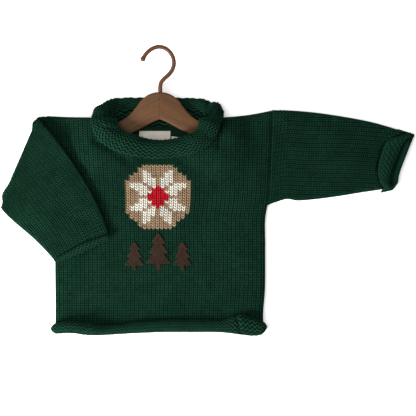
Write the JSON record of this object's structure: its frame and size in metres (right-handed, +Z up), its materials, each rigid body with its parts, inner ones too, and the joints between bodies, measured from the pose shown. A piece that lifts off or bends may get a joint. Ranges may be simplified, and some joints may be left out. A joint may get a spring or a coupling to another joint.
{
  "type": "child's knitted christmas sweater laid flat on a wooden coat hanger",
  "caption": "Child's green knitted Christmas pullover with rolled collar, hem and cuffs, laid flat, one sleeve folded over the front, on a small wooden hanger.",
  "frame": {"origin": "middle of the footprint of the whole, on the surface that it lies on", "axes": "+X across the body towards the straight sleeve, +Y from hem to neck, +Z up from the surface"},
  "size_m": [0.5494, 0.3852, 0.0337],
  "materials": {
    "knit": "dark green cotton stocking stitch, matt",
    "felt": "dark brown wool felt",
    "wood": "walnut brown stain under satin lacquer",
    "wire": "brown antique copper plated wire",
    "tape": "white woven satin tape, blank"
  },
  "bodies": {
    "root": {"front_panel": "knit", "back_panel": "knit", "sleeve_right": "knit", "sleeve_left": "knit", "collar": "knit", "neck_label": "tape", "size_tab": "tape", "felt_tree_left": "felt", "felt_tree_middle": "felt", "felt_tree_right": "felt", "hanger_arm_left": "wood", "hanger_arm_right": "wood", "hanger_hook": "wire"}
  },
  "joints": []
}
